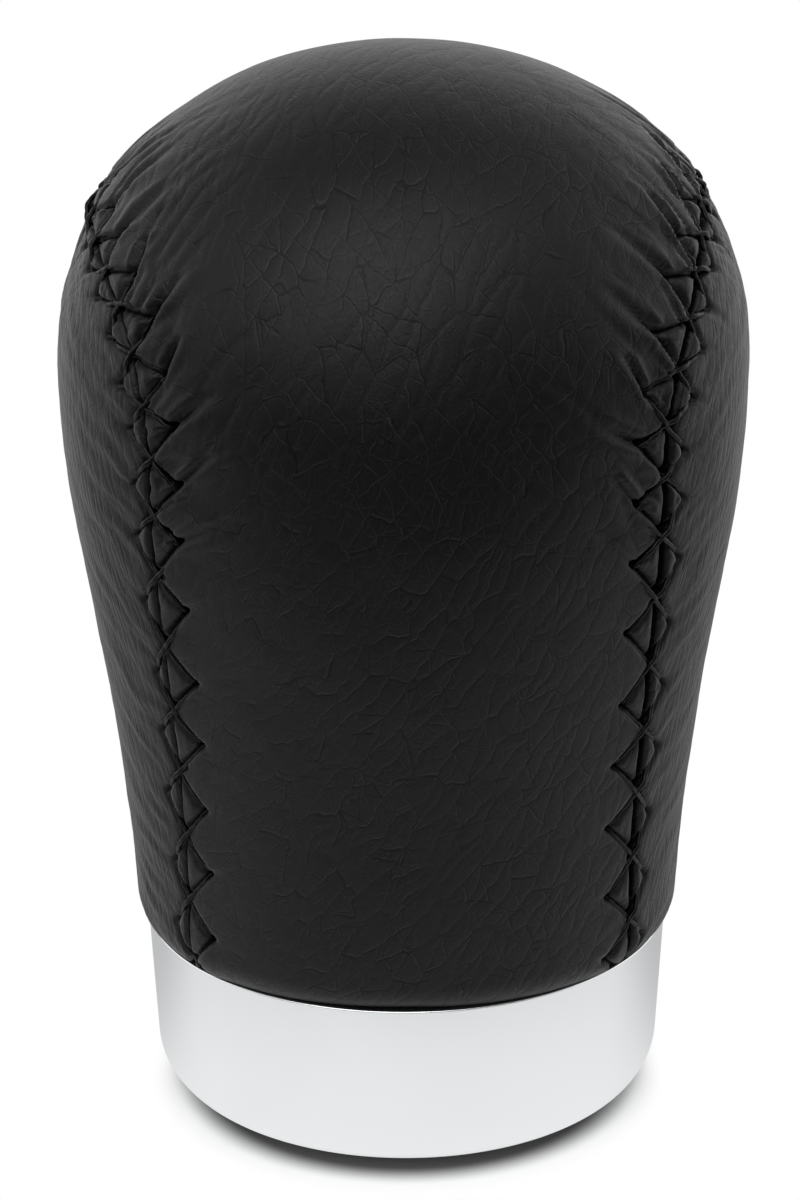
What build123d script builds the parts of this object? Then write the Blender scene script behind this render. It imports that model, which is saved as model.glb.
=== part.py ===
from build123d import *
import os

# Gear shift knob: a leather cover of three laced panels over a moulded core, on a plated base ring.
# It stands on its ring at z = 0, +Z is up and the front faces -Y. All sizes are in millimetres.

# Cover, outside
overall_height = 84.0      # floor to crown
head_radius = 26.5         # widest part of the cover
head_level = 59.9          # height of the widest part
head_fullness = 0.6        # how square the crown is: 0.55 is an ellipse
foot_radius = 21.6         # cover just above its rolled lower lip
foot_lean = 0.06           # outward slope of the cover at its foot
foot_pull = 23.0           # length over which the foot's slope is held
waist_pull = 13.7          # length over which the side runs upright below the widest part
lip_radius = 2.75          # roll of the cover's lower edge
leather_thickness = 1.2
glue_gap = 0.04            # between the leather and the core
rim_bevel = 0.9            # core's lower rim, where the leather turns in

# Base ring
ring_height = 14.4
ring_top_radius = 20.75
ring_bottom_radius = 19.95
ring_bottom_round = 4.0
ring_top_bevel = 0.4
ring_flange = 3.0          # thickness of the ring's bottom flange
ring_mouth_radius = 12.5   # opening for the lever and its boot
hem_gap = 0.35             # between the ring and the cover's hem

# Core neck and threaded insert
neck_radius = 16.5
fit_gap = 0.03             # between the ring or insert and the core
recess_depth = 7.0         # from the floor to the insert's face
insert_flats = 17.0        # across the flats of the insert's hexagon
insert_length = 40.0
insert_head_flats = 21.0   # across the flats of its wider upper end, which keeps it in the core
insert_head_length = 6.0
thread_major_radius = 6.0
thread_pitch = 1.25
thread_depth_ratio = 0.5413  # depth of a metric nut thread for each millimetre of pitch
thread_length = 34.0

# Seams: each is an arch drawn in side view and carried out to the cover from a point on the axis
seam_origin_level = 50.0   # point on the axis that the panels' edges point to
seam_plane = 18.0          # distance from the axis at which the arch is drawn
seam_foot_half = 14.3      # half-width of the arch at seam_foot_level
seam_foot_level = 17.0
seam_shoulder_half = 17.9  # half-width where the side arc starts
seam_shoulder_level = 56.5
seam_shoulder_arc = 9.0
seam_apex_level = 68.0
seam_gap = 0.6             # between the edges of two panels
seam_edge_bevel = 0.7      # outer edge of each panel, where the leather rolls into the seam
seam_cut_start = 11.5      # distance from the axis at which a seam's cut starts
seam_cut_slack = 2.5       # how far the cut runs out past the widest part of the cover
seam_wall_slack = 0.1      # sine of the angle within which a face counts as a panel's cut edge
skin_probe = 0.04          # depth under the cover's outside at which its outer edges are told apart

# Lacing
stitch_pitch = 5.6
hole_offset = 2.4          # from the seam to each row of holes
first_stitch_level = 17.5
thread_width = 0.55
thread_height = 0.4
thread_clearance = 0.12    # above the leather
thread_end_gap = 0.65      # between a run's end and the middle of its hole
under_lift = 0.62          # rise of the lower run over the seam
crossing_gap = 0.35        # between the two runs where the upper crosses the lower

LEFT = -1
RIGHT = 1

hem_level = ring_height + hem_gap
foot_level = hem_level + lip_radius
thread_minor_radius = thread_major_radius - thread_depth_ratio * thread_pitch
over_lift = under_lift + thread_height + crossing_gap
seam_origin = Vector(0, 0, seam_origin_level)


def turned(section):
    """Solid of revolution of a section drawn as (radius, height)."""
    return revolve(Plane.YZ * section, axis=Axis.Z)


def band(inner, outer, low, high):
    """Half section of a plain ring."""
    return make_face(Polyline((inner, low), (outer, low), (outer, high), (inner, high), close=True))


def pear_section(inset, rim):
    """Half section of the pear body, inset from the cover's outside, with a bevelled lower rim."""
    bottom = hem_level + inset
    crown = overall_height - inset
    foot = foot_radius - inset
    widest = head_radius - inset
    flank = Bezier(
        (foot, foot_level),
        (foot + foot_lean * foot_pull, foot_level + foot_pull),
        (widest, head_level - waist_pull),
        (widest, head_level),
    )
    head = Bezier(
        (widest, head_level),
        (widest, head_level + head_fullness * (crown - head_level)),
        (head_fullness * widest, crown),
        (0, crown),
    )
    rim_points = [(foot - rim, bottom), (foot, bottom + rim)] if rim else [(foot, bottom)]
    closing = Polyline((0, crown), (0, bottom), *rim_points, (foot, foot_level))
    return make_face([flank, head, closing])


def cover_blank():
    """The whole leather cover before it is cut into panels, with its hem and a square lower lip."""
    hem_edge = band(0, neck_radius + hem_gap, hem_level, hem_level + leather_thickness)
    return turned(pear_section(0, 0) - pear_section(leather_thickness, rim_bevel) - hem_edge)


def lip_waste():
    """What is outside the rolled lower lip."""
    centre = foot_radius - lip_radius
    corner = band(centre, foot_radius + lip_radius, hem_level - lip_radius, foot_level)
    return turned(corner - Pos(centre, foot_level) * Circle(lip_radius))


def hexagon(flats, low, high):
    prism = extrude(RegularPolygon(flats / 2, 6, major_radius=False), high - low)
    return Pos(0, 0, low) * prism


def insert_blank(grow):
    """Outside of the threaded insert: a hexagon bar with a wider upper end."""
    top = recess_depth + insert_length
    neck = hexagon(insert_flats + 2 * grow, recess_depth, top)
    return neck + hexagon(insert_head_flats + 2 * grow, top - insert_head_length - grow, top + grow)


def threaded_insert():
    hole = Cylinder(thread_minor_radius, thread_length, align=(Align.CENTER, Align.CENTER, Align.MIN))
    return insert_blank(0) - Pos(0, 0, recess_depth) * hole


def core():
    inset = leather_thickness + glue_gap
    neck = band(0, neck_radius, ring_flange, hem_level + inset)
    recess = band(0, ring_mouth_radius, ring_flange, recess_depth)
    return turned(pear_section(inset, rim_bevel) + neck - recess) - insert_blank(fit_gap)


def base_ring():
    bore = neck_radius + fit_gap
    section = make_face(
        Polyline(
            (ring_mouth_radius, 0),
            (ring_bottom_radius, 0),
            (ring_top_radius, ring_height),
            (bore, ring_height),
            (bore, ring_flange),
            (ring_mouth_radius, ring_flange),
            close=True,
        )
    )
    bottom_corner = section.vertices().sort_by_distance((ring_bottom_radius, 0))[0]
    section = fillet(bottom_corner, ring_bottom_round)
    top_corner = section.vertices().sort_by_distance((ring_top_radius, ring_height))[0]
    section = chamfer(top_corner, ring_top_bevel)
    return turned(section)


def arch(side, scale, offset):
    """Outline of a side panel, pushed outwards by offset and scaled from the seam origin."""
    lean = Vector(seam_foot_half - seam_shoulder_half, seam_shoulder_level - seam_foot_level).normalized()
    leg_normal = Vector(-lean.Y, lean.X)
    shoulder = Vector(-seam_shoulder_half, seam_shoulder_level)
    side_centre = shoulder - leg_normal * seam_shoulder_arc
    rise = seam_apex_level - side_centre.Y
    top_arc = (side_centre.X**2 + rise**2 - seam_shoulder_arc**2) / (2 * (rise - seam_shoulder_arc))
    top_centre = Vector(0, seam_apex_level - top_arc)
    top_normal = (side_centre - top_centre).normalized()
    side_normal = (leg_normal + top_normal).normalized()
    side_reach = seam_shoulder_arc + offset

    leg_start = Vector(-seam_foot_half, seam_foot_level) + leg_normal * offset
    leg_start -= lean * seam_foot_level
    half = [
        leg_start,
        side_centre + leg_normal * side_reach,
        side_centre + side_normal * side_reach,
        side_centre + top_normal * side_reach,
    ]
    apex = Vector(0, seam_apex_level + offset)

    def placed(point):
        height = seam_origin_level + (point.Y - seam_origin_level) * scale
        return Vector(side * seam_plane * scale, point.X * scale, height)

    near = [placed(point) for point in half]
    far = [placed(Vector(-point.X, point.Y)) for point in half]
    return Wire(
        [
            Edge.make_line(near[0], near[1]),
            Edge.make_three_point_arc(near[1], near[2], near[3]),
            Edge.make_three_point_arc(near[3], placed(apex), far[3]),
            Edge.make_three_point_arc(far[3], far[2], far[1]),
            Edge.make_line(far[1], far[0]),
        ]
    )


def arch_block(side, offset):
    """Block inside one seam, with walls that point to the seam origin."""
    wires = []
    for reach in (seam_cut_start, head_radius + seam_cut_slack):
        outline = arch(side, reach / seam_plane, offset)
        sill = Edge.make_line(outline @ 1, outline @ 0)
        wires.append(Wire([*outline.edges(), sill]))
    return Solid.make_loft(wires, ruled=True)


def bevelled(panel, seams):
    """The panel with the outer edges along its seams taken off, from the top of each arch down its legs."""
    under_skin = turned(pear_section(skin_probe, 0))
    edges = []
    for face in panel.faces():
        from_origin = (face.center() - seam_origin).normalized()
        if abs(face.normal_at().dot(from_origin)) < seam_wall_slack:
            edges += [edge for edge in face.edges() if not under_skin.is_inside(edge @ 0.5)]
    arch_tops = ShapeList(edges).sort_by(Axis.Z)[-seams:]
    return chamfer(arch_tops, seam_edge_bevel)


def side_panel(blank, side):
    return bevelled(blank & arch_block(side, -seam_gap / 2), 1) - lip_waste()


def main_panel(blank):
    opened = blank - arch_block(LEFT, seam_gap / 2) - arch_block(RIGHT, seam_gap / 2)
    return bevelled(opened, 2) - lip_waste()


def outermost(cover, start, direction):
    """Place and outward direction where a ray from inside leaves the cover."""
    hits = cover.find_intersection_points(Axis(start, direction))
    return max(hits, key=lambda hit: (hit[0] - start).dot(direction))


def hole_rows(side, cover):
    """Holes beside a seam, on the main panel and on the side panel, as (place, outward direction)."""
    seam = arch(side, 1, 0)
    start = (first_stitch_level - (seam @ 0).Z) / (seam % 0).Z
    stitched = seam.length - 2 * start
    count = round(stitched / stitch_pitch)
    main_row = []
    side_row = []
    for hole in range(count + 1):
        along = (start + stitched * hole / count) / seam.length
        place, normal = outermost(cover, seam_origin, seam @ along - seam_origin)
        sideways = (seam % along).cross(normal).normalized() * side
        for row, step in ((main_row, -hole_offset), (side_row, hole_offset)):
            below = place + sideways * step - normal * leather_thickness
            row.append(outermost(cover, below, normal))
    return main_row, side_row


def thread_run(start, end, lift):
    """One run of thread from hole to hole, rising over the seam in the middle."""
    (first, first_normal), (last, last_normal) = start, end
    along = (last - first).normalized()
    across = along.cross(first_normal + last_normal)
    half_run = (last - first).length / 2
    tip = half_run - thread_end_gap
    low = thread_clearance
    outline = Polyline(
        (-tip, low),
        (0, low + lift),
        (tip, low),
        (tip, low + thread_height),
        (0, low + lift + thread_height),
        (-tip, low + thread_height),
        close=True,
    )
    place = Plane((first + last) / 2, x_dir=along, z_dir=across)
    return extrude(place * make_face(outline), thread_width / 2, both=True)


def lacing(side, cover):
    """The visible runs of one seam's thread, crossing from hole to hole up and over the arch."""
    main_row, side_row = hole_rows(side, cover)
    runs = []
    for hole in range(len(main_row) - 1):
        runs.append(thread_run(main_row[hole], side_row[hole + 1], under_lift))
        runs.append(thread_run(side_row[hole], main_row[hole + 1], over_lift))
    return Compound([run.solid() for run in runs])


os.makedirs("parts", exist_ok=True)
blank = cover_blank()
cover = turned(pear_section(0, 0))
pieces = {
    "core": core(),
    "threaded_insert": threaded_insert(),
    "base_ring": base_ring(),
    "main_panel": main_panel(blank),
    "left_panel": side_panel(blank, LEFT),
    "right_panel": side_panel(blank, RIGHT),
    "left_lacing": lacing(LEFT, cover),
    "right_lacing": lacing(RIGHT, cover),
}
for name, piece in pieces.items():
    piece.label = name
    export_step(piece, f"parts/{name}.step")
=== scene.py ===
import math
import bpy
import numpy as np
from mathutils import Matrix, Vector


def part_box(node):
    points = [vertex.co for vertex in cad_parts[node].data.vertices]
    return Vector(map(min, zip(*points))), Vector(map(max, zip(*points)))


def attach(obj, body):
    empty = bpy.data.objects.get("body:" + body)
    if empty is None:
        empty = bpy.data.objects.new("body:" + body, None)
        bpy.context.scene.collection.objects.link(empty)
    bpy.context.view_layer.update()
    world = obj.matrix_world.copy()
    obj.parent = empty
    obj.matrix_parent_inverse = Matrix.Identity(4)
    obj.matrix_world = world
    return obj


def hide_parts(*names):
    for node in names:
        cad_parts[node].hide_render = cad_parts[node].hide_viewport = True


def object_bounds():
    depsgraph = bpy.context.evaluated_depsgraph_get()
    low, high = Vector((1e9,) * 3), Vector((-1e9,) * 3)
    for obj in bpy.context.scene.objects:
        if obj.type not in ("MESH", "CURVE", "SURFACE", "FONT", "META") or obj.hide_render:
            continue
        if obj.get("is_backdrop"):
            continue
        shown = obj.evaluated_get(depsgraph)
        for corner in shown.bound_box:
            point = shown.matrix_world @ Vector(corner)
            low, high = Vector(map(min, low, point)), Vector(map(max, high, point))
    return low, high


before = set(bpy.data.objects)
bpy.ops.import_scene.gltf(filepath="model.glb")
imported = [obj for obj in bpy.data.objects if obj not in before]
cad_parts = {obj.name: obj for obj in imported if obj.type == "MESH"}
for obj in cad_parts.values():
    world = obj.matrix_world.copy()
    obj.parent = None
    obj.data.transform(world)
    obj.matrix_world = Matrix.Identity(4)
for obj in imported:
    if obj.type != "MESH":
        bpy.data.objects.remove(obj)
cad_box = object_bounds()

# A leather gear shift knob in a white studio. Shapes are worked out in millimetres, as (x, y, z) arrays,
# with the front towards -Y. Random values come from named seeds, so each run gives the same leather.
MM = 0.001
BODY = "root"


def node_box(node):
    """Lowest and highest corner of a solid, in millimetres."""
    low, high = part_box(node)
    return np.array(low) / MM, np.array(high) / MM


_, main_high = node_box("main_panel")
_, ring_high = node_box("base_ring")
insert_low, insert_high = node_box("threaded_insert")

# Cover
hem_gap = 0.05  # between the ring's top and the leather
hem_level = ring_high[2] + hem_gap
crown_level = main_high[2]
head_radius = main_high[1]
head_level = 59.9  # where the cover is widest
head_fullness = 0.6  # how square the crown is
foot_radius = 21.6
foot_lean = 0.06  # how much the cover widens upward at its foot
foot_pull = 23.0  # how far the directions at foot and head carry into the flank
waist_pull = 13.7
lip_radius = 2.9  # round of the lower lip
lip_sweep = math.radians(52)
lip_front_lift = 0.25  # the lower edge stands off the ring a little at the middle of the front
lip_front_width = 7.0
hem_radius = 16.9
leather_thickness = 1.2
edge_roll = 0.4  # round of a panel's cut edge
foot_level = hem_level + lip_radius * math.sin(lip_sweep)

# Seams: an arch drawn in side view, carried out to the cover from a point on the axis
seam_origin = np.array([0.0, 0.0, 50.0])
seam_plane = 18.0
seam_foot_half = 14.3
seam_foot_level = 17.0
seam_shoulder_half = 17.9
seam_shoulder_level = 56.5
seam_apex_level = 68.0
seam_ray_reach = 3.0  # length of a ray to the cover, as a multiple of the way to the drawn arch

# Lacing
thread_radius = 0.2
stitch_pitch = 5.6
hole_wander = 0.3  # how far hand-made holes stray from their even places
arch_near = 27.0  # stitches up to this far from the apex are as around the arch
arch_far = 40.0  # and those beyond this are as on the legs
arch_tightening = 1.7  # how much closer the stitches are around the arch
arch_widening = 0.15  # how much further from the edge their holes are there
spare_holes = 3  # holes reckoned beyond each end of a seam, so that the relief runs on there
main_pull = 1.0  # how much the stitches draw in the main panel and a side panel
side_pull = 0.3
main_gathered = 1.0  # how much each is gathered around the arch
side_gathered = 0.25

# Mesh fineness
seam_rows = 561
fine_step = 0.16
fine_reach = 4.6
wide_step = 0.42
lip_rows = 9
hem_rows = 4


class Seam:
    """One laced seam. The two were sewn by hand, so they differ a little."""

    def __init__(self, side, arch, half_gap, main_offset, side_offset, first_hole, wrinkled, main_seed, seed):
        self.side = side
        self.arch = arch
        self.half_gap = half_gap
        self.first_hole = first_hole
        self.wrinkled = wrinkled
        self.main_seed = main_seed
        self.side_seed = seed + 40
        self.uneven_seed = seed + 50
        self.wrinkle_seed = seed + 60
        self.points, self.along = seam_line(self)
        self.length = self.along[-1]
        places = self.hole_places()
        self.hole_count = int(np.sum(places < self.length)) - spare_holes
        self.main_holes = self.hole_row(places, main_offset, seed + 1)
        self.side_holes = self.hole_row(places, side_offset, seed + 2)

    def hole_places(self):
        """Even places of the holes along the seam, closer together around its arch."""
        places = [self.first_hole - stitch_pitch * step for step in range(spare_holes, -1, -1)]
        while places[-1] < self.length + spare_holes * stitch_pitch:
            places.append(places[-1] + stitch_pitch - arch_tightening * arch_share(self, places[-1]))
        return np.array(places)

    def hole_row(self, places, offset, seed):
        """Distance along the seam and away from it of each hole in one panel."""
        rng = np.random.default_rng(seed)
        along = places + rng.uniform(-hole_wander, hole_wander, len(places))
        away = offset + arch_widening * arch_share(self, places)
        return along, away + rng.uniform(-hole_wander, hole_wander, len(places))


def smooth_step(value, start, end):
    share = np.clip((value - start) / (end - start), 0, 1)
    return share * share * (3 - 2 * share)


def bell(distance, width, height=1.0):
    """A smooth bump with its full height at no distance, and about a third of it at the width."""
    return height * np.exp(-((distance / width) ** 2))


def arch_share(seam, t):
    """0 on the straight legs of a seam, 1 around the top of its arch."""
    return 1 - smooth_step(np.abs(t - seam.length / 2), arch_near, arch_far)


# Profile of the cover
def bezier(points, steps):
    """Points on a cubic curve."""
    t = np.linspace(0, 1, steps)[:, None]
    a, b, c, d = (np.array(point, dtype=float) for point in points)
    return (1 - t) ** 3 * a + 3 * (1 - t) ** 2 * t * b + 3 * (1 - t) * t**2 * c + t**3 * d


def cover_profile():
    """Heights from foot to crown, with the squared radius and its slope at each."""
    flank_steps, head_steps = 400, 800
    least_rise = 1e-9
    widest = (head_radius, head_level)
    above_foot = (foot_radius + foot_lean * foot_pull, foot_level + foot_pull)
    below_widest = (head_radius, head_level - waist_pull)
    above_widest = (head_radius, head_level + head_fullness * (crown_level - head_level))
    beside_crown = (head_fullness * head_radius, crown_level)
    flank = bezier([(foot_radius, foot_level), above_foot, below_widest, widest], flank_steps)
    head = bezier([widest, above_widest, beside_crown, (0, crown_level)], head_steps)
    profile = np.vstack([flank, head[1:]])
    height = profile[:, 1]
    height[-1] = crown_level
    keep = np.concatenate([[True], np.diff(height) > least_rise])
    height = height[keep]
    squared = profile[keep, 0] ** 2
    return height, squared, np.gradient(squared, height)


profile_height, profile_squared, profile_slope = cover_profile()


def outside_by(points):
    """How far squared distance from the axis exceeds the cover's: negative inside, positive outside."""
    over_crown_weight = 60
    height = points[..., 2]
    squared = np.interp(height, profile_height, profile_squared)
    over_crown = np.maximum(height - crown_level, 0)
    return points[..., 0] ** 2 + points[..., 1] ** 2 - squared + over_crown_weight * over_crown


def on_cover(start, direction, reach):
    """Where rays from inside leave the cover."""
    halvings = 44
    near = np.zeros(start.shape[:-1])
    far = np.full(start.shape[:-1], float(reach))
    for _ in range(halvings):
        middle = (near + far) / 2
        inside = outside_by(start + middle[..., None] * direction) < 0
        near = np.where(inside, middle, near)
        far = np.where(inside, far, middle)
    return start + near[..., None] * direction


def out_from_origin(points):
    """Where rays from the seams' origin through these points leave the cover."""
    return on_cover(np.tile(seam_origin, (len(points), 1)), points - seam_origin, seam_ray_reach)


def unit(vectors):
    return vectors / np.linalg.norm(vectors, axis=-1, keepdims=True)


def cover_normal(points):
    slope = np.interp(points[..., 2], profile_height, profile_slope)
    return unit(np.stack([points[..., 0], points[..., 1], -slope / 2], axis=-1))


def arc_lengths(points):
    steps = np.linalg.norm(np.diff(points, axis=0), axis=1)
    return np.concatenate([[0], np.cumsum(steps)])


def resampled(points, along, wanted):
    """Points of a line at the wanted distances along it."""
    return np.stack([np.interp(wanted, along, points[:, axis]) for axis in range(3)], axis=-1)


def arc(centre, radius, angles):
    """Points of a circle in a plane."""
    return centre + radius * np.stack([np.cos(angles), np.sin(angles)], axis=-1)


def arch_outline(foot_out, shoulder_out, apex_drop, shoulder_arc):
    """Half of the arch in side view, from its foot to its apex, as (half-width, height)."""
    leg_steps, side_steps, top_steps = 120, 60, 90
    foot = np.array([seam_foot_half + foot_out, seam_foot_level])
    shoulder = np.array([seam_shoulder_half + shoulder_out, seam_shoulder_level])
    apex = seam_apex_level - apex_drop
    lean = unit(shoulder - foot)
    leg_normal = np.array([lean[1], -lean[0]])
    side_centre = shoulder - leg_normal * shoulder_arc
    rise = apex - side_centre[1]
    top_arc = (side_centre[0] ** 2 + rise**2 - shoulder_arc**2) / (2 * (rise - shoulder_arc))
    top_centre = np.array([0.0, apex - top_arc])
    top_normal = unit(side_centre - top_centre)
    start_angle = math.atan2(leg_normal[1], leg_normal[0])
    turn_angle = math.atan2(top_normal[1], top_normal[0])
    below_foot = foot - lean * seam_foot_level / 2
    leg = np.linspace(below_foot, shoulder, leg_steps)
    side = arc(side_centre, shoulder_arc, np.linspace(start_angle, turn_angle, side_steps)[1:])
    top = arc(top_centre, top_arc, np.linspace(turn_angle, math.pi / 2, top_steps)[1:])
    return np.vstack([leg, side, top])


def seam_line(seam):
    """Evenly spaced points of a seam on the cover, from the front foot over the arch to the back foot."""
    half = arch_outline(**seam.arch)
    front = np.stack([np.full(len(half), seam.side * seam_plane), -half[:, 0], half[:, 1]], axis=-1)
    back = front[-2::-1] * np.array([1, -1, 1])
    points = out_from_origin(np.vstack([front, back]))
    middle = len(half) - 1
    foot = np.interp(foot_level, points[: middle + 1, 2], np.arange(middle + 1))
    first = math.ceil(foot)
    last = 2 * middle - first
    index = np.concatenate([[foot], np.arange(first, last + 1), [2 * middle - foot]])
    points = resampled(points, np.arange(len(points)), index)
    along = arc_lengths(points)
    wanted = np.linspace(0, along[-1], seam_rows)
    return resampled(points, along, wanted), wanted


LEFT = Seam(
    side=-1, half_gap=0.03, main_offset=2.6, side_offset=1.7, first_hole=1.6, wrinkled=1.0,
    arch=dict(foot_out=0.5, shoulder_out=0.2, apex_drop=1.0, shoulder_arc=9.0), main_seed=21, seed=11,
)
RIGHT = Seam(
    side=1, half_gap=0.34, main_offset=2.9, side_offset=2.0, first_hole=-0.6, wrinkled=0.6,
    arch=dict(foot_out=-0.8, shoulder_out=-0.7, apex_drop=-0.9, shoulder_arc=7.6), main_seed=31, seed=12,
)


# Leather relief
def noise(u, v, seed, start=(0, 0)):
    """Smooth random values from -1 to 1, with bumps about one unit across."""
    size = 64
    u = u + start[0]
    v = v + start[1]
    table = np.random.default_rng(seed).uniform(-1, 1, (size, size))
    u0 = np.floor(u).astype(int)
    v0 = np.floor(v).astype(int)
    u_share = smooth_step(u - u0, 0, 1)
    v_share = smooth_step(v - v0, 0, 1)
    u0 = u0 % size
    v0 = v0 % size
    u1 = (u0 + 1) % size
    v1 = (v0 + 1) % size
    low = table[u0, v0] * (1 - u_share) + table[u1, v0] * u_share
    high = table[u0, v1] * (1 - u_share) + table[u1, v1] * u_share
    return low * (1 - v_share) + high * v_share


def roll_depth(d):
    """How far the rolled edge lies below the panel at a distance from its edge."""
    inside = np.clip(1 - d / edge_roll, 0, 1)
    return edge_roll * (1 - np.sqrt(1 - inside**2))


class Stitching:
    """Where points of a panel lie among the stitches of its seam.

    x is the distance from the middle of the seam and t the distance along it."""

    def __init__(self, seam, holes, x, t):
        hole_along, hole_away = holes
        crossing = (hole_along[1:] + hole_along[:-1]) / 2
        knot_along = np.sort(np.concatenate([hole_along, crossing]))
        knot_away = np.zeros(len(knot_along))
        knot_away[::2] = hole_away
        stitch = np.interp(t, hole_along, np.arange(len(hole_along)))
        self.x = x
        self.t = t
        self.count = len(hole_along)
        self.hole = np.round(stitch).astype(int)
        self.run = np.clip(np.floor(stitch).astype(int), 0, self.count - 2)
        self.share = stitch - np.floor(stitch)
        self.offset = np.mean(hole_away)
        self.thread_line = np.interp(t, knot_along, knot_away)
        self.from_thread = (x - self.thread_line) / math.hypot(1, 2 * self.offset / stitch_pitch)
        self.along = t - hole_along[self.hole]
        self.past_hole = x - hole_away[self.hole]
        self.beyond = np.maximum(self.past_hole, 0)
        self.from_hole = np.hypot(self.along, self.past_hole)
        self.from_crossing = t - crossing[self.run]
        self.arch = arch_share(seam, t)
        self.upward = 1 - 2 * smooth_step(t - seam.length / 2, start=-6.0, end=6.0)


def notch_distance(at, rng):
    """Distance from the short notches that the crossings of the thread press into the edge."""
    shortest = 0.35
    edge_width, edge_fade = 0.3, 0.2
    reach = rng.uniform(0.0, 0.8, at.count)[at.run]
    lean = rng.uniform(-0.5, 0.5, at.count)[at.run]
    across = at.from_crossing - lean * at.x
    past_end = np.maximum(at.x - shortest - reach, 0)
    return np.hypot(across, past_end) + edge_fade * np.maximum(edge_width - at.x, 0)


def cuts(at, notch, pull):
    """Grooves under the thread, holes with a dimple around each, and notches."""
    groove = bell(at.from_thread, width=0.26, height=0.4)
    hole = bell(at.from_hole, width=0.32, height=0.6)
    dimple = bell(at.from_hole, width=1.0, height=0.1)
    return -groove - hole - dimple - pull * bell(notch, width=0.2, height=0.3)


def puffed_lips(at, seam, d, seed):
    """Leather that puffs up between the threads and is a little crumpled."""
    puff_height, least_width = 0.2, 0.05
    crumple_height, crumple_across, crumple_along, crumple_skew = 0.07, 0.42, 1.7, 0.3
    width = np.maximum(at.thread_line - seam.half_gap, least_width)
    share = np.clip(d / width, 0, 1)
    size = smooth_step(width / at.offset, start=0.0, end=0.8)
    inside = smooth_step(-at.from_thread, start=-0.05, end=0.25)
    puff = puff_height * (1 - (2 * share - 1) ** 4)
    crumple = noise(at.x / crumple_across + crumple_skew * at.t, at.t / crumple_along, seed)
    return (puff + crumple_height * crumple) * size * inside


def puckers(at, pull):
    """Swellings beside the lacing, which the stitches draw up."""
    pucker_place = 1.4
    swell_height, swell_reach = 0.1, 2.5
    between = (1 - np.cos(2 * math.pi * at.share)) / 2
    pucker = between * bell(at.x - pucker_place, width=1.5, height=0.1)
    swell = swell_height * np.exp(-at.beyond / swell_reach)
    return pull * (pucker + swell) * smooth_step(at.from_thread, start=0.0, end=0.5)


def hole_creases(at, rng, pull, gather):
    """Height of creases that run out from the holes, and distances from them for their painted shade, larger
    where they are faint.
    """
    gather_lean, gather_depth = 0.55, 0.34
    first_width, widening = 0.28, 0.04
    bank_place, bank_width = 2.2, 1.4  # raised banks beside a crease, in its widths
    # Shape of the painted shade along a crease, smaller where the crease is faint or not gathered
    mark_round, mark_width, mark_narrowing = 0.15, 0.05, 0.05
    ungathered_mark, faint_mark = 0.7, 0.6

    def drawn(low, high):
        return rng.uniform(low, high, at.count)[at.hole]

    length = drawn(0.8, 2.2) + gather * drawn(3.0, 8.5)
    depth = drawn(0.05, 0.2)
    lean = drawn(-0.5, 0.5) + gather_lean * at.upward * gather
    bend = drawn(-0.03, 0.03)
    line = at.along - lean * at.beyond - bend * at.beyond**2
    fade = np.clip(1 - at.beyond / length, 0, 1) * smooth_step(at.past_hole, start=-0.4, end=0.2)
    width = first_width + widening * at.beyond
    bank = bell(np.abs(line) - bank_place * width, bank_width * width, height=0.5)
    strength = (pull * depth + gather_depth * gather) * fade
    mark = np.hypot(line, mark_round) - mark_width + mark_narrowing * at.beyond
    mark += ungathered_mark * (1 - gather) + faint_mark * (1 - smooth_step(fade, start=0.05, end=0.3))
    return strength * (bank - bell(line, width)), mark


def fading_out(x, reach):
    """1 close to the seam, fading out away from it."""
    full_width = 1.0
    return np.exp(-np.maximum(x - full_width, 0) / reach)


def arch_folds(at, gather, seed):
    """Soft folds of the leather gathered around the arch."""
    fold_rise, fold_spacing, fold_length, fold_lean = 0.12, 1.3, 9.0, 0.5
    stray, stray_size = 0.8, 5.0
    mean_reach, reach_spread, reach_along, reach_across = 5.5, 2.5, 3.0, 30.0
    flow = at.t - fold_lean * at.upward * at.x + stray * noise(at.t / stray_size, at.x / stray_size, seed)
    folds = noise(flow / fold_spacing, at.x / fold_length, seed + 1)
    reach = mean_reach + reach_spread * noise(at.t / reach_along, at.x / reach_across, seed + 2)
    fade = gather * fading_out(at.x, reach) * smooth_step(at.x, start=0.6, end=1.6)
    return (fold_rise - bell(folds, width=0.2, height=0.38)) * fade


def fine_wrinkles(at, gather, seed):
    """Fine wrinkles beside the lacing, deeper where the leather is gathered."""
    rise, depth, gather_depth = 0.7, 0.03, 0.11
    large_spacing, large_length, large_skew = 1.1, 4.0, 0.25
    small_spacing, small_length, small_share = 0.6, 2.5, 0.6
    large = np.abs(noise(at.t / large_spacing + large_skew * at.x, at.x / large_length, seed))
    small = np.abs(noise(at.t / small_spacing, at.x / small_length, seed + 1))
    wrinkles = rise - large - small_share * small
    return (depth + gather_depth * gather) * wrinkles * fading_out(at.x, reach=4.5)


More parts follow.
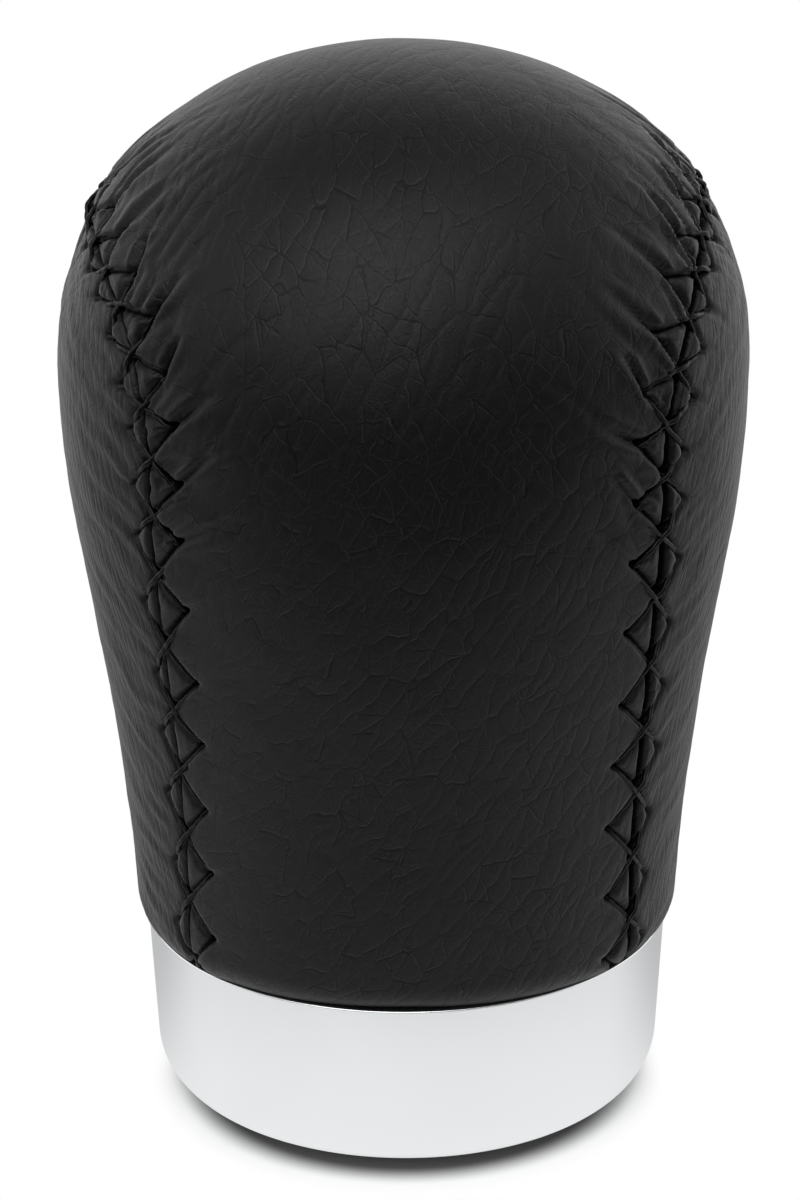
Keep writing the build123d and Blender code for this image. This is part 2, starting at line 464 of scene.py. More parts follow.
def seam_relief(seam, on_main, d, t):
    """Leather of the main or a side panel beside a seam: its height, and distances for the painted shade in
    its material.

    d is the distance from the panel's edge and t the distance along the seam."""
    slack_notch = 0.3  # how much of the painted shade a slack panel's notches lose
    main = (seam.main_holes, main_pull, main_gathered, seam.main_seed)
    side = (seam.side_holes, side_pull, side_gathered, seam.side_seed)
    holes, pull, gathered, seed = main if on_main else side
    rng = np.random.default_rng(seed)
    at = Stitching(seam, holes, d + seam.half_gap, t)
    gather = gathered * at.arch
    notch = notch_distance(at, rng)
    creases, from_crease = hole_creases(at, rng, pull, gather)
    height = cuts(at, notch, pull) + puffed_lips(at, seam, d, seed + 5) + puckers(at, pull) + creases
    height += arch_folds(at, gather, seed + 6) + fine_wrinkles(at, gather, seed + 1)
    from_notch = notch + slack_notch * (1 - pull)
    from_pit = np.minimum(np.minimum(at.from_hole, from_notch), from_crease)
    marks = {"thread_distance": at.from_thread, "hole_distance": from_pit, "edge_distance": d}
    return height, marks


def unevenness(points, seed):
    """Slow dents and swellings of leather glued over a core."""
    slow_height, medium_height = 0.07, 0.035
    slow_u, slow_v = np.array([[0.12, 0, 0.05], [0, 0.06, 0.11]])
    medium_u, medium_v = np.array([[0.33, 0.2, 0], [0, -0.12, 0.3]])
    slow = noise(points @ slow_u, points @ slow_v, seed, start=(9, 7))
    medium = noise(points @ medium_u, points @ medium_v, seed + 1, start=(5, 3))
    return slow_height * slow + medium_height * medium


def side_wrinkles(points, from_edge, seed):
    """Shallow wrinkles of a side panel, which run down from its middle towards the seam."""
    height, length, slant = 0.1, 4.0, 0.45
    fine_height, fine_length, fineness = 0.03, 2.0, 2.2
    stray, stray_across, stray_along = 0.9, 3.0, 4.0
    faded = 0.7
    y = points[..., 1]
    z = points[..., 2]
    across = z + slant * np.abs(y) + stray * noise(y / stray_across, z / stray_along, seed, start=(20, 20))
    wrinkle = noise(across, y / length, seed + 1, start=(40, 20))
    fine = noise(fineness * across, y / fine_length, seed + 2, start=(60, 20))
    fade = 1 - faded * smooth_step(from_edge, start=7.0, end=13.0)
    return (height * wrinkle + fine_height * fine) * fade * smooth_step(from_edge, start=0.8, end=2.5)


# Panels
def near_columns(reach):
    """Distance from the edge and depth of the columns beside a seam, which turn down into it."""
    wall_extra = 0.05
    angles = np.radians(np.arange(0, 90, 15))
    wall = [leather_thickness + wall_extra, (leather_thickness + edge_roll) / 2]
    fine = np.arange(edge_roll, fine_reach, fine_step)
    wide = np.arange(fine_reach, reach, wide_step)
    distance = np.concatenate([[0, 0], edge_roll * (1 - np.cos(angles)), fine, wide])
    depth = np.concatenate([wall, edge_roll * (1 - np.sin(angles)), 0 * fine, 0 * wide])
    return distance, depth


def lip_section():
    """Rows of the rolled lower lip and the hem below the foot: radius, height, normal angle and distance."""
    rows = []
    for step in range(1, lip_rows + 1):
        angle = -lip_sweep * step / lip_rows
        radius = foot_radius - lip_radius + lip_radius * math.cos(angle)
        rows.append((radius, foot_level + lip_radius * math.sin(angle), angle, lip_radius * -angle))
    end_radius, _, end_angle, end_distance = rows[-1]
    for step in range(1, hem_rows + 1):
        run = (end_radius - hem_radius) * step / hem_rows
        rows.append((end_radius - run, hem_level, end_angle, end_distance + run))
    return np.array(rows)


def with_lip(points, normals, along):
    """Rows of a panel with its lower lip and hem added before the first row and after the last."""
    up = np.array([0, 0, 1])
    added = []
    for row, way in ((0, -1), (-1, 1)):
        radius, height, angle, distance = lip_section()[::way].T[..., None, None]
        outward = unit(points[row] * (1 - up))
        front = bell(outward[:, :1] * foot_radius, lip_front_width) * (outward[:, 1:2] < 0)
        lift = lip_front_lift * front * np.minimum(distance / (lip_radius * lip_sweep), 1)
        place = outward * radius + (height + lift) * up
        normal = outward * np.cos(angle) + np.sin(angle) * up
        added.append((place, normal, along[row] + way * distance.ravel()))
    return [np.concatenate(parts) for parts in zip(added[0], (points, normals, along), added[1])]


def with_lip_rows(values):
    """Values of a panel's rows, repeated for the rows of its lip and hem."""
    extra = lip_rows + hem_rows
    return np.pad(values, ((extra, extra), (0, 0)), mode="edge")


def sampled_rows(rows, columns_of):
    """Points of each row at columns that depend on its length, and the columns."""
    points, columns = [], []
    for row in rows:
        along = arc_lengths(row)
        columns.append(columns_of(along[-1]))
        points.append(resampled(row, along, columns[-1]))
    return np.array(points), np.array(columns)


def new_object(name, data):
    placed = bpy.data.objects.new(name, data)
    bpy.context.scene.collection.objects.link(placed)
    return placed


def new_piece(name, points, faces, material, replaces, marks=None):
    """A smooth mesh piece that rides on the knob, with values per vertex for its material."""
    mesh = bpy.data.meshes.new(name)
    mesh.from_pydata((points.reshape(-1, 3) * MM).tolist(), [], faces)
    mesh.polygons.foreach_set("use_smooth", np.ones(len(mesh.polygons), dtype=bool))
    mesh.materials.append(material)
    for key, values in (marks or {}).items():
        attribute = mesh.attributes.new(key, "FLOAT", "POINT")
        attribute.data.foreach_set("value", values.ravel().astype(np.float32))
    mesh.update()
    piece = new_object(name, mesh)
    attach(piece, BODY)
    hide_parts(*replaces)
    return piece


def sheet_index(points):
    """Table of vertex numbers of a sheet."""
    return np.arange(points[..., 0].size).reshape(points.shape[:2])


def tube_index(points, start=0):
    """Table of vertex numbers of a tube, with its first column repeated at the end."""
    index = start + sheet_index(points)
    return np.hstack([index, index[:, :1]])


def grid_faces(index, flip):
    """Quads between neighbours of a table of vertex numbers."""
    corners = [index[:-1, :-1], index[:-1, 1:], index[1:, 1:], index[1:, :-1]]
    return np.stack([corner.ravel() for corner in corners[:: -1 if flip else 1]], axis=-1).tolist()


def centre_line(fraction, half_seam):
    """Points of the main panel's middle line, front foot over the crown to back foot."""
    z = profile_height
    meridian = np.stack([np.zeros(len(z)), -np.sqrt(np.maximum(profile_squared, 0)), z], axis=-1)
    meridian[-1, 1] = 0
    along = arc_lengths(meridian)
    share = 2 * np.minimum(fraction, 1 - fraction)
    reach = half_seam * share + (along[-1] - half_seam) * share**3
    points = resampled(meridian, along, reach)
    points[fraction > 0.5, 1] *= -1
    return points


def main_panel(material):
    """The middle panel, from the front over the crown to the back."""
    middle_columns, row_samples = 40, 170
    bulge_reach = 30.0
    uneven_seed = 41
    fraction = np.linspace(0, 1, seam_rows)
    left, right = LEFT.points, RIGHT.points
    middle = centre_line(fraction, (LEFT.length + RIGHT.length) / 4)
    bulge = unit(middle - (left + right) / 2)
    share = np.linspace(0, 1, row_samples)[None, :, None]
    chords = left[:, None] + share * (right - left)[:, None]
    rows = on_cover(chords, np.broadcast_to(bulge[:, None], chords.shape), bulge_reach)
    near, near_depth = near_columns(reach=12.0)
    middle_share = np.linspace(0, 1, middle_columns)[1:-1]
    depth = np.concatenate([near_depth, np.zeros(len(middle_share)), near_depth[::-1]])

    def columns_of(length):
        start = LEFT.half_gap
        end = length - RIGHT.half_gap
        between = start + near[-1] + middle_share * (end - start - 2 * near[-1])
        return np.concatenate([start + near, between, end - near[::-1]])

    points, columns = sampled_rows(rows, columns_of)
    points, normals, row_along = with_lip(points, cover_normal(points), fraction * LEFT.length)
    columns = with_lip_rows(columns)
    from_left = columns - columns[:, :1]
    from_right = columns[:, -1:] - columns
    left_along = np.repeat(row_along[:, None], points.shape[1], axis=1)
    right_along = left_along + (RIGHT.length - LEFT.length) * smooth_step(left_along / LEFT.length, 0, 1)
    left_height, left_marks = seam_relief(LEFT, True, from_left, left_along)
    right_height, right_marks = seam_relief(RIGHT, True, from_right, right_along)
    height = left_height + right_height + unevenness(points, uneven_seed) - depth
    marks = {key: np.where(from_left < from_right, left_marks[key], right_marks[key]) for key in left_marks}
    marks["hide_across"] = (from_left - from_right) / 2
    marks["hide_along"] = left_along
    placed = points + normals * height[..., None]
    faces = grid_faces(sheet_index(placed), False)
    new_piece("main_panel_leather", placed, faces, material, ["main_panel"], marks)


def side_panel(seam, name, material, node):
    """A side panel: rows run from the seam to a spine at the middle of the side."""
    rest_columns, row_samples = 24, 90
    spine_turn, spine_top = 46.0, 60.5
    hide_stretch = 1.7
    hide_shift = 100  # gives each side panel creases of its own
    _, seam_y, seam_z = seam.points.T
    rise = np.clip((seam_z - spine_turn) / (seam_z.max() - spine_turn), 0, 1)
    spine = np.where(seam_z < spine_turn, seam_z, spine_turn + (spine_top - spine_turn) * rise)
    share = np.linspace(0, 1, row_samples)
    y = seam_y[:, None] * (1 - share)
    z = seam_z[:, None] + share * (spine - seam_z)[:, None]
    x = seam.side * np.sqrt(np.interp(z, profile_height, profile_squared) - y**2)
    near, near_depth = near_columns(reach=8.6)
    rest = np.linspace(0, 1, rest_columns)[1:]
    depth = np.concatenate([near_depth, np.zeros(len(rest))])

    def columns_of(length):
        start = seam.half_gap
        return np.concatenate([start + near, start + near[-1] + rest * (length - start - near[-1])])

    points, columns = sampled_rows(np.stack([x, y, z], axis=-1), columns_of)
    points, normals, row_along = with_lip(points, cover_normal(points), seam.along)
    from_edge = with_lip_rows(columns - seam.half_gap)
    along = np.repeat(row_along[:, None], points.shape[1], axis=1)
    seam_height, marks = seam_relief(seam, False, from_edge, along)
    fade = 1 - smooth_step(np.linspace(0, 1, points.shape[1]), start=0.75, end=1.0)
    height = fade * seam_height + unevenness(points, seam.uneven_seed) - depth
    height += seam.wrinkled * side_wrinkles(points, from_edge, seam.wrinkle_seed)
    around = np.arctan2(points[..., 1], np.abs(points[..., 0]))
    marks["hide_across"] = around * hide_stretch * head_radius + hide_shift * seam.side
    marks["hide_along"] = points[..., 2]
    placed = points + normals * height[..., None]
    index = sheet_index(placed)
    half = len(placed) // 2
    index[half + 1 :, -1] = index[:half, -1][::-1]
    new_piece(name, placed, grid_faces(index, seam.side < 0), material, [node], marks)


# Threads
def seam_frame(seam, t):
    """Place, direction along and direction towards the main panel at distances along a seam."""
    half_step = 0.2
    before, place, after = (resampled(seam.points, seam.along, t + half_step * way) for way in (-1, 0, 1))
    ahead = unit(after - before)
    to_main = unit(np.cross(ahead, cover_normal(place))) * -seam.side
    return place, ahead, to_main


def thread_path(seam, first, to_main, over):
    """Middle line of one run of thread, from a hole across the seam to the next hole of the other panel."""
    steps = 37
    overrun = 0.03  # share of a run that goes on into its holes
    end_margin = 0.3
    taut_half = 0.6  # within this of the seam the thread spans hollows
    sink = 0.6
    rest_height = 0.6 * thread_radius
    over_height = 1.7 * thread_radius if over else 0.0
    share = np.linspace(-overrun, 1 + overrun, steps)
    start_row, end_row = (seam.side_holes, seam.main_holes) if to_main else (seam.main_holes, seam.side_holes)
    number = first + spare_holes
    start_along, start_away = np.array(start_row)[:, number]
    end_along, end_away = np.array(end_row)[:, number + 1]
    t = start_along + share * (end_along - start_along)
    across = start_away - share * (start_away + end_away)
    across = across * (-1 if to_main else 1)
    inside = np.clip(t, end_margin, seam.length - end_margin)
    place, ahead, main_way = seam_frame(seam, inside)
    base = out_from_origin(place + (t - inside)[:, None] * ahead + across[:, None] * main_way)
    normal = cover_normal(base)
    d = np.maximum(np.abs(across) - seam.half_gap, 0.0)
    main_height, _ = seam_relief(seam, True, d, t)
    side_height, _ = seam_relief(seam, False, d, t)
    relief = np.where(across > 0, main_height, side_height) - roll_depth(d)
    taut = np.abs(across) < taut_half
    order = np.argsort(across[~taut])
    level = np.interp(across[taut], across[~taut][order], relief[~taut][order])
    relief[taut] = np.maximum(level, relief[taut])
    sunk = sink * smooth_step(np.abs(share - 0.5), start=0.45, end=0.53)
    lift = rest_height + bell(across, width=0.6, height=over_height)
    return base + normal * (relief + lift - sunk)[:, None], normal


def thread_mesh(paths):
    """Two-ply twisted thread along each path, as points and faces."""
    around = 12
    twist_length = 1.0
    least_radius, ply_radius = 0.75, 0.3
    angle = np.linspace(0, 2 * math.pi, around, endpoint=False)
    points, faces = [], []
    for path, normal in paths:
        along = arc_lengths(path)
        direction = unit(np.gradient(path, axis=0))
        across = unit(np.cross(direction, normal))
        upward = np.cross(across, direction)
        ply = np.abs(np.cos(angle - math.pi * along[:, None] / twist_length))
        radius = thread_radius * (least_radius + ply_radius * ply)
        ring = np.cos(angle)[:, None] * across[:, None] + np.sin(angle)[:, None] * upward[:, None]
        tube = path[:, None] + radius[..., None] * ring
        index = tube_index(tube, sum(len(part) for part in points))
        points.append(tube.reshape(-1, 3))
        faces += grid_faces(index, False)
        faces.append(index[0, :-1].tolist())
        faces.append(index[-1, :-1][::-1].tolist())
    return np.vstack(points), faces


def lacing(seam, name, material, node):
    """All visible runs of one seam's thread."""
    paths = []
    for first in range(seam.hole_count - 1):
        for to_main in (False, True):
            over = to_main == (seam.side < 0)
            paths.append(thread_path(seam, first, to_main, over))
    points, faces = thread_mesh(paths)
    new_piece(name, points, faces, material, [node])


# Ring and insert
def turned_points(radius, angle, height):
    radius, angle, height = np.broadcast_arrays(radius, angle, height)
    return np.stack([radius * np.cos(angle), radius * np.sin(angle), height], axis=-1)


def base_ring(material):
    """The plated ring, turned from its section."""
    mouth_radius, bore_radius, flange = 12.5, 16.5, 3.0
    bottom_radius, top_radius = 19.95, 20.75
    bottom_round, edge_round, bevel = 4.0, 0.12, 0.2
    round_steps, edge_steps, around = 25, 7, 256
    height = ring_high[2]
    lean = math.atan2(top_radius - bottom_radius, height)
    round_centre = np.array([bottom_radius - bottom_round + bottom_round * math.tan(lean), bottom_round])
    edge_centre = np.array([top_radius - edge_round, height - edge_round])
    section = np.vstack(
        [
            [[bore_radius, flange], [mouth_radius + bevel, flange], [mouth_radius, flange - bevel]],
            [[mouth_radius, bevel], [mouth_radius + bevel, 0]],
            arc(round_centre, bottom_round, np.linspace(-math.pi / 2, -lean, round_steps)),
            arc(edge_centre, edge_round, np.linspace(-lean, math.pi / 2, edge_steps)),
            [[bore_radius + bevel, height], [bore_radius, height - bevel], [bore_radius, flange]],
        ]
    )
    angle = np.linspace(0, 2 * math.pi, around, endpoint=False)
    points = turned_points(section[:, :1], angle, section[:, 1:])
    faces = grid_faces(tube_index(points), True)
    piece = new_piece("base_ring_plated", points, faces, material, ["base_ring"])
    piece.data.set_sharp_from_angle(angle=math.radians(35))


def threaded_insert(material):
    """The steel insert, a hexagon bar with a wider end, threaded inside for the gear lever."""
    flats, head_length = 17.0, 6.0
    pitch, major_radius, minor_radius = 1.25, 6.0, 5.32
    thread_length = 34.0
    run_in, run_out = 0.7, 0.5
    flank, crest_cut = 1.35, 0.2
    mouth = 0.35
    pole_radius = 0.01  # the closed ends keep a tiny hole, so that no quad is empty
    steps_per_turn, around = 8, 72
    bottom, top = insert_low[2], insert_high[2]
    hole_end = bottom + thread_length
    head_flats = 2 * min(insert_high[0], insert_high[1])
    angle = np.linspace(0, 2 * math.pi, around, endpoint=False)
    corner = 0.0 if insert_high[0] > insert_high[1] else math.pi / 6
    from_flat = (angle - corner) % (math.pi / 3) - math.pi / 6
    hexagon = 0.5 / np.cos(from_flat)
    circle = np.ones(around)

    rows = [(pole_radius * circle, hole_end), (minor_radius * circle, hole_end)]
    for level in np.arange(hole_end - run_out, bottom + run_in, -pitch / steps_per_turn):
        phase = (level / pitch - angle / (2 * math.pi)) % 1
        depth = np.clip(flank * (1 - np.abs(2 * phase - 1)) - crest_cut, 0, 1)
        rows.append((minor_radius + (major_radius - minor_radius) * depth, level))
    rows += [((major_radius + mouth) * circle, bottom), (flats * hexagon, bottom)]
    rows += [(flats * hexagon, top - head_length), (head_flats * hexagon, top - head_length)]
    rows += [(head_flats * hexagon, top), (pole_radius * circle, top)]
    points = np.array([turned_points(radius, angle, level) for radius, level in rows])
    faces = grid_faces(tube_index(points), True)
    piece = new_piece("threaded_insert_steel", points, faces, material, ["threaded_insert"])
    piece.data.set_sharp_from_angle(angle=math.radians(30))


# Materials
class Graph:
    """The nodes of a material or of the world, with short ways to add and link them."""

    def __init__(self, tree):
        self.nodes = tree.nodes
        self.links = tree.links

    def add(self, kind, vector=None, **settings):
        """A node with some of its properties and inputs set by name, and its vector linked."""
        node = self.nodes.new("ShaderNode" + kind)
        for key, value in settings.items():
            if key in node.inputs:
                node.inputs[key].default_value = value
            else:
                setattr(node, key, value)
        if vector is not None:
            self.links.new(vector, node.inputs["Vector"])
        return node

    def feed(self, socket, value):
        """Set a socket to a number or a tuple, or link it to an output."""
        if isinstance(value, (int, float, tuple)):
            socket.default_value = value
        else:
            self.links.new(value, socket)

    def ramp(self, source, low, high, start, end):
        """Map a value from one range to another, smoothly."""
        node = self.add("MapRange", interpolation_type="SMOOTHSTEP")
        values = {"Value": source, "From Min": low, "From Max": high, "To Min": start, "To Max": end}
        for name, value in values.items():
            self.feed(node.inputs[name], value)
        return node.outputs["Result"]

    def math(self, operation, first, second=0.0):
        node = self.add("Math", operation=operation)
        self.feed(node.inputs[0], first)
        self.feed(node.inputs[1], second)
        return node.outputs["Value"]

    def vector(self, operation, *operands):
        node = self.add("VectorMath", operation=operation)
        for number, operand in enumerate(operands):
            self.feed(node.inputs[number], operand)
        return node.outputs["Value" if operation == "LENGTH" else "Vector"]

    def noise(self, place, scale, detail, dimensions="3D"):
        return self.add("TexNoise", place, noise_dimensions=dimensions, Scale=scale, Detail=detail).outputs

    def mix(self, factor, first, second):
        node = self.add("Mix", data_type="RGBA")
        for name, value in {"Factor": factor, "A": first, "B": second}.items():
            self.feed(node.inputs[name], value)
        return node.outputs["Result"]


class Look(Graph):
    """The nodes of a new material, with its shader and the place on the object."""

    def __init__(self, name):
        self.material = bpy.data.materials.new(name)
        self.material.use_nodes = True
        super().__init__(self.material.node_tree)
        self.shader = self.nodes["Principled BSDF"]
        self.place = self.add("TexCoord").outputs["Object"]

    def put(self, name, value):
        """Set or link one of the shader's inputs."""
        self.feed(self.shader.inputs[name], value)

    def roughen(self, grain, start, end):
        """Let the roughness follow a noise over its common values."""
        self.put("Roughness", self.ramp(grain, low=0.3, high=0.7, start=start, end=end))

    def bump(self, height, strength, distance):
        node = self.add("Bump", Strength=strength, Distance=distance)
        self.feed(node.inputs["Height"], height)
        self.put("Normal", node.outputs["Normal"])


def crease_lines(look, hide, bent, shift):
    """Distance from a family of long creases, and lines of it, a crossing family and a finer net."""
    line_width, fine_share = 0.07, 0.6

    def crease_net(turn, scale, stretched, gap_scale, faintest):
        """Distance from the edges of a net of cells, and thin broken lines along them."""
        turned = look.add("Mapping", bent, Location=(shift, -shift, 0), Rotation=(0, 0, turn))
        stretch = look.add("Mapping", turned.outputs["Vector"], Scale=(1, stretched, 1))
        cells = look.add("TexVoronoi", stretch.outputs["Vector"], voronoi_dimensions="2D", Scale=scale)
        cells.feature = "DISTANCE_TO_EDGE"
        distance = cells.outputs["Distance"]
        gaps = look.noise(hide, gap_scale, detail=2.0, dimensions="2D")["Fac"]
        line = look.ramp(distance, low=0.0, high=line_width * scale, start=1.0, end=0.0)
        kept = look.ramp(gaps, low=0.35, high=0.57, start=faintest, end=1.0)
        return distance, look.math("MULTIPLY", line, kept)

    from_rising, rising = crease_net(turn=0.6, scale=0.68, stretched=0.34, gap_scale=0.22, faintest=0.3)
    _, falling = crease_net(turn=-0.75, scale=0.62, stretched=0.34, gap_scale=0.26, faintest=0.3)
    _, fine = crease_net(turn=0.1, scale=1.15, stretched=0.65, gap_scale=0.3, faintest=0.1)
    long_lines = look.math("MAXIMUM", rising, falling)
    return from_rising, look.math("MAXIMUM", long_lines, look.math("MULTIPLY", fine, fine_share))


def leather_material():
    """Black leather with a broken net of creases, a painted highlight beside each, painted shade where the
    thread cuts in, and a soft sheen.
    """
    black = (0.0014, 0.0014, 0.0013, 1)
    # Tone of the painted highlight beside the creases
    painted_highlight_tone = (0.013, 0.013, 0.0125, 1)
    # Tone of the painted shade in the thread grooves, holes, notches and crease lines, and along the panel
    # edges
    painted_shade_tone = (0.0004, 0.0004, 0.0004, 1)
    bend_by = (1.5, 1.5, 0.0)
    shake_by = (0.15, 0.15, 0.0)
    lit_shift = 0.07  # the painted highlight on the side of a crease that faces the light lies this far beside it
    pore_height, pore_fray = 0.55, 0.16
    groove_depth, groove_shade = 0.38, 0.42
    # How much wider the painted shade is round the holes, and how much narrower at the panel edges
    hole_widening, edge_narrowing = 0.05, 0.16
    look = Look("black_leather")
    calc = look.math

    def mark(name):
        return look.add("Attribute", attribute_name=name).outputs["Fac"]

    hide_node = look.add("CombineXYZ")
    look.feed(hide_node.inputs["X"], mark("hide_across"))
    look.feed(hide_node.inputs["Y"], mark("hide_along"))
    hide = hide_node.outputs["Vector"]
    bend = look.noise(hide, scale=0.3, detail=3.0, dimensions="2D")["Color"]
    shake = look.noise(hide, scale=1.7, detail=2.0, dimensions="2D")["Color"]
    bent = look.vector("SUBTRACT", bend, (0.5, 0.5, 0.5))
    bent = look.vector("MULTIPLY_ADD", bent, bend_by, hide)
    bent = look.vector("MULTIPLY_ADD", shake, shake_by, bent)
    from_large, crease = crease_lines(look, hide, bent, 0.0)
    _, lit_edge = crease_lines(look, hide, bent, lit_shift)
    pores = look.noise(look.place, scale=4200, detail=3.0)["Fac"]

    pillow = look.ramp(from_large, low=0.0, high=0.28, start=0.0, end=0.6)
    height = calc("ADD", pillow, calc("MULTIPLY", pores, pore_height))
    height = calc("SUBTRACT", height, calc("MULTIPLY", crease, groove_depth))
    look.bump(height, strength=0.4, distance=9e-5)

    from_hole = calc("SUBTRACT", mark("hole_distance"), hole_widening)
    from_edge = calc("ADD", mark("edge_distance"), edge_narrowing)
    from_cut = calc("MINIMUM", calc("ABSOLUTE", mark("thread_distance")), from_hole)
    from_cut = calc("MINIMUM", from_cut, from_edge)
    from_cut = calc("ADD", from_cut, calc("MULTIPLY", pores, pore_fray))
    # Painted shade: near black along the thread, in the holes, notches and crease lines, and at the panel
    # edges
    painted_cut_shade = look.ramp(from_cut, low=0.16, high=0.36, start=1.0, end=0.0)

    # Painted highlight: a pale band along one side of each crease, where light would catch it
    painted_crease_highlight = calc("MAXIMUM", calc("SUBTRACT", lit_edge, crease), 0.0)
    look.put("Base Color", look.mix(painted_cut_shade, look.mix(painted_crease_highlight, black, painted_highlight_tone), painted_shade_tone))
    look.roughen(pores, start=0.58, end=0.5)
    # Painted shade in the reflection too: less specular in the cuts and creases
    painted_hollow_shade = calc("MAXIMUM", painted_cut_shade, calc("MULTIPLY", crease, groove_shade))
    look.put("Specular IOR Level", look.ramp(painted_hollow_shade, low=0.0, high=1.0, start=0.27, end=0.03))
    look.put("Sheen Weight", 0.16)
    look.put("Sheen Roughness", 0.35)
    return look.material


def grained_look(name, scale, strength, distance, smoothest, roughest):
    """A look with a fine grain that its roughness follows, and the grain."""
    look = Look(name)
    grain = look.noise(look.place, scale, detail=3.0)["Fac"]
    look.bump(grain, strength, distance)
    look.roughen(grain, smoothest, roughest)
    return look, grain


def thread_material():
    """Waxed black thread with fine fibres."""
    darkest = (0.0003, 0.0003, 0.0003, 1)
    lightest = (0.0016, 0.0016, 0.0015, 1)
    look, fibres = grained_look(
        "black_thread", scale=7000, strength=0.5, distance=5e-5, smoothest=0.32, roughest=0.45
    )
    look.put("Base Color", look.mix(fibres, darkest, lightest))
    look.put("Specular IOR Level", 0.17)
    return look.material


def ring_material():
    """Satin chrome plate, evenly fine, with a slight haze that varies over the ring."""
    look = Look("satin_chrome")
    haze = look.noise(look.place, scale=70, detail=2.0)["Fac"]
    grain = look.noise(look.place, scale=9000, detail=2.0)["Fac"]
    look.roughen(haze, start=0.29, end=0.34)
    look.bump(grain, strength=0.03, distance=1e-5)
    look.put("Base Color", (0.885, 0.9, 0.912, 1))
    look.put("Metallic", 1.0)
    return look.material


def plastic_material():
    """Black moulded plastic of the core."""
    look, _ = grained_look(
        "moulded_plastic", scale=2600, strength=0.35, distance=5e-5, smoothest=0.45, roughest=0.6
    )
    look.put("Base Color", (0.012, 0.012, 0.012, 1))
    return look.material


def steel_material():
    """Turned steel of the threaded insert."""
    look, _ = grained_look(
        "turned_steel", scale=1500, strength=0.2, distance=3e-5, smoothest=0.28, roughest=0.42
    )
    look.put("Base Color", (0.52, 0.51, 0.49, 1))
    look.put("Metallic", 1.0)
    return look.material


# Stage
def floor_material():
    """White floor that keeps the real shadow under the ring, deepened there by a painted shadow, plain white
    further out, with painted shade that dims its colour and the glow reflections see towards the room.
    """
    edge = ring_high[0] * MM
    shadow_shift = 0.0028  # the shadow, real and painted, lies this far towards the front
    # Each ramp over the floor: where it starts and ends, in metres, and its values there
    # Painted shade: the floor's colour and glow fall off towards the front, sides and back; far behind, the
    # glow that reflections see is brighter
    front_fall = (-0.096, -0.066, 0.03, 0.94)
    side_fall = (0.02, 0.06, 1.0, 0.86)
    back_fall = (-0.014, 0.018, 1.0, 0.58)
    far_back = (0.07, 0.13, 0.0, 0.42)
    # A painted shadow darkens the floor's colour close round the ring, more towards the front
    front_painted_shadow = (edge - 0.0021, edge + 0.001, 0.08, 1.0)
    round_painted_shadow = (edge - 0.0045, edge - 0.001, 0.12, 1.0)
    front_clear = (edge - 0.0003, edge + 0.0029, 0.0, 1.0)
    round_clear = (edge - 0.0035, edge, 0.0, 1.0)
    # Reflections see the glow even close under the ring, where the floor is shaded: a painted reflection
    mirror_clear = (edge - 0.006, edge - 0.002, 0.0, 1.0)
    look = Look("white_floor")
    calc, ramp = look.math, look.ramp
    ray = look.add("LightPath").outputs
    place = look.add("SeparateXYZ", look.place).outputs
    from_middle = calc("ABSOLUTE", place["X"])
    from_axis = look.vector("LENGTH", look.place)
    shifted = look.vector("ADD", look.place, (0, shadow_shift, 0))
    from_shadow = calc("ADD", look.vector("LENGTH", shifted), shadow_shift)

    beside = calc("MINIMUM", ramp(from_middle, *side_fall), ramp(place["Y"], *back_fall))
    # Painted shade: the floor's colour is dimmer towards the front, sides and back
    painted_room_light = calc("MULTIPLY", ramp(place["Y"], *front_fall), beside)
    # Painted shadow in the floor's colour close round the ring
    painted_contact_shadow = calc("MINIMUM", ramp(from_shadow, *front_painted_shadow), ramp(from_axis, *round_painted_shadow))
    look.put("Base Color", calc("MULTIPLY", painted_room_light, painted_contact_shadow))
    look.put("Roughness", 0.9)
    look.put("Specular IOR Level", 0.1)

    camera_clear = calc("MINIMUM", ramp(from_shadow, *front_clear), ramp(from_axis, *round_clear))
    for_camera = calc("MULTIPLY", camera_clear, ray["Is Camera Ray"])
    mirrored = calc("MAXIMUM", ray["Is Glossy Ray"], ray["Is Transmission Ray"])
    # Painted reflection: mirrored rays see the floor glow, graded like the painted shade, brighter far
    # behind, and reaching in under the ring
    for_mirror = calc("MULTIPLY", ramp(from_axis, *mirror_clear), mirrored)
    painted_reflection_glow = calc("ADD", painted_room_light, ramp(place["Y"], *far_back))
    white = look.add("Emission")
    look.feed(white.inputs["Strength"], calc("MAXIMUM", painted_reflection_glow, ray["Is Camera Ray"]))
    shown = look.add("MixShader")
    look.feed(shown.inputs["Fac"], calc("MAXIMUM", for_camera, for_mirror))
    look.feed(shown.inputs[1], look.shader.outputs["BSDF"])
    look.feed(shown.inputs[2], white.outputs["Emission"])
    look.feed(look.nodes["Material Output"].inputs["Surface"], shown.outputs["Shader"])
    return look.material


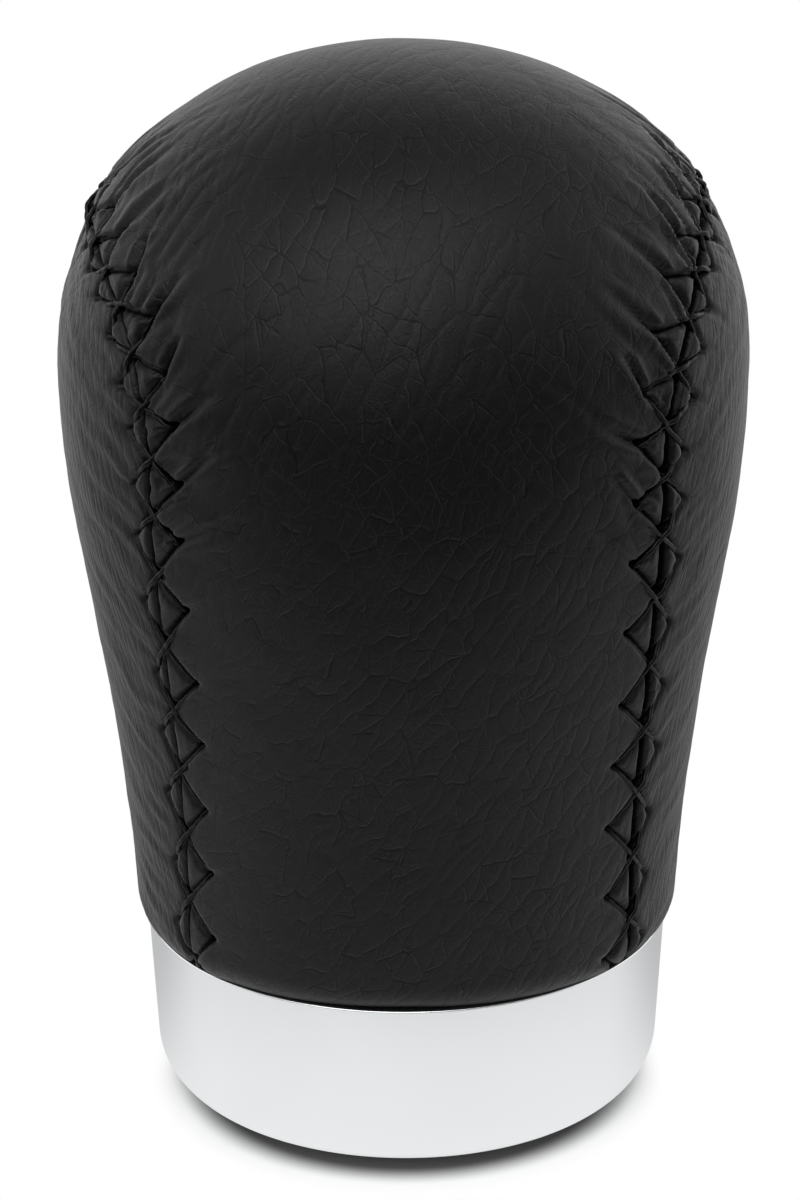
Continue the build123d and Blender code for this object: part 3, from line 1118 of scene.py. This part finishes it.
def studio_floor():
    half = 1.5
    corners = [(-half, -half, 0), (half, -half, 0), (half, half, 0), (-half, half, 0)]
    mesh = bpy.data.meshes.new("floor")
    mesh.from_pydata(corners, [], [(0, 1, 2, 3)])
    mesh.materials.append(floor_material())
    floor = new_object("floor", mesh)
    floor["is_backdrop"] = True


def studio_world():
    """White backdrop behind and beside the knob, with the darker room on the camera's side."""
    room_level = 0.08
    world = bpy.data.worlds.new("studio")
    world.use_nodes = True
    graph = Graph(world.node_tree)
    ray = graph.add("LightPath").outputs
    direction = graph.add("SeparateXYZ", graph.add("TexCoord").outputs["Generated"]).outputs
    towards_back = graph.ramp(direction["Y"], low=-0.8, high=0.15, start=0.0, end=1.3)
    below_top = graph.ramp(direction["Z"], low=0.35, high=0.85, start=1.0, end=0.1)
    room = graph.math("MAXIMUM", graph.math("MULTIPLY", towards_back, below_top), room_level)
    background = graph.nodes["Background"]
    graph.feed(background.inputs["Strength"], graph.math("MAXIMUM", room, ray["Is Camera Ray"]))
    graph.feed(background.inputs["Color"], (1, 1, 1, 1))
    bpy.context.scene.world = world


def put_in_scene(name, data, right, up, back, place):
    """A lamp or camera at a place, from the directions of its own axes."""
    matrix = Matrix(np.column_stack([right, up, back]).tolist()).to_4x4()
    matrix.translation = place.tolist()
    placed = new_object(name, data)
    placed.matrix_world = matrix
    return placed


def area_light(name, place, target, size, power):
    lamp = bpy.data.lights.new(name, "AREA")
    lamp.shape = "RECTANGLE"
    lamp.size, lamp.size_y = size
    lamp.energy = power
    place = np.array(place)
    back = unit(place - np.array(target))
    right = unit(np.cross([0.0, 0.0, 1.0], back))
    put_in_scene(name, lamp, right, np.cross(back, right), back, place)


def studio_camera():
    """The photograph's view: 20.7 degrees above the front, from a little over 0.3 m."""
    distance = 0.332
    elevation = math.radians(20.69)
    look_height = 0.04007
    aside = -0.0004
    roll = math.radians(0.3)
    focal_pixels = 4229
    image_height = 1200
    camera = bpy.data.cameras.new("camera")
    camera.sensor_fit = "VERTICAL"
    camera.sensor_height = 36.0
    camera.lens = focal_pixels * camera.sensor_height / image_height
    camera.clip_start = 0.01
    right = np.array([1.0, 0.0, 0.0])
    up = np.array([0.0, math.sin(elevation), math.cos(elevation)])
    back = np.array([0.0, -math.cos(elevation), math.sin(elevation)])
    rolled_right = math.cos(roll) * right - math.sin(roll) * up
    rolled_up = math.sin(roll) * right + math.cos(roll) * up
    place = back * distance + np.array([aside, 0, look_height])
    bpy.context.scene.camera = put_in_scene("camera", camera, rolled_right, rolled_up, back, place)


leather = leather_material()
thread = thread_material()
main_panel(leather)
side_panel(LEFT, "left_panel_leather", leather, "left_panel")
side_panel(RIGHT, "right_panel_leather", leather, "right_panel")
lacing(LEFT, "left_thread", thread, "left_lacing")
lacing(RIGHT, "right_thread", thread, "right_lacing")
base_ring(ring_material())
threaded_insert(steel_material())
core_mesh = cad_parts["core"].data
core_mesh.materials.clear()
core_mesh.materials.append(plastic_material())

studio_floor()
studio_world()
lamp_target = (0, 0, 0.05)
area_light("left_softbox", place=(-0.15, -0.4, 0.5), target=lamp_target, size=(0.6, 0.5), power=2.8)
area_light("right_softbox", place=(0.16, -0.2, 0.62), target=lamp_target, size=(0.5, 0.4), power=1.0)
studio_camera()
bpy.context.scene.view_settings.view_transform = "Standard"

boxes = {"cad": cad_box, "visual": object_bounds()}
{name: [list(map(float, corner)) for corner in box] for name, box in boxes.items()}
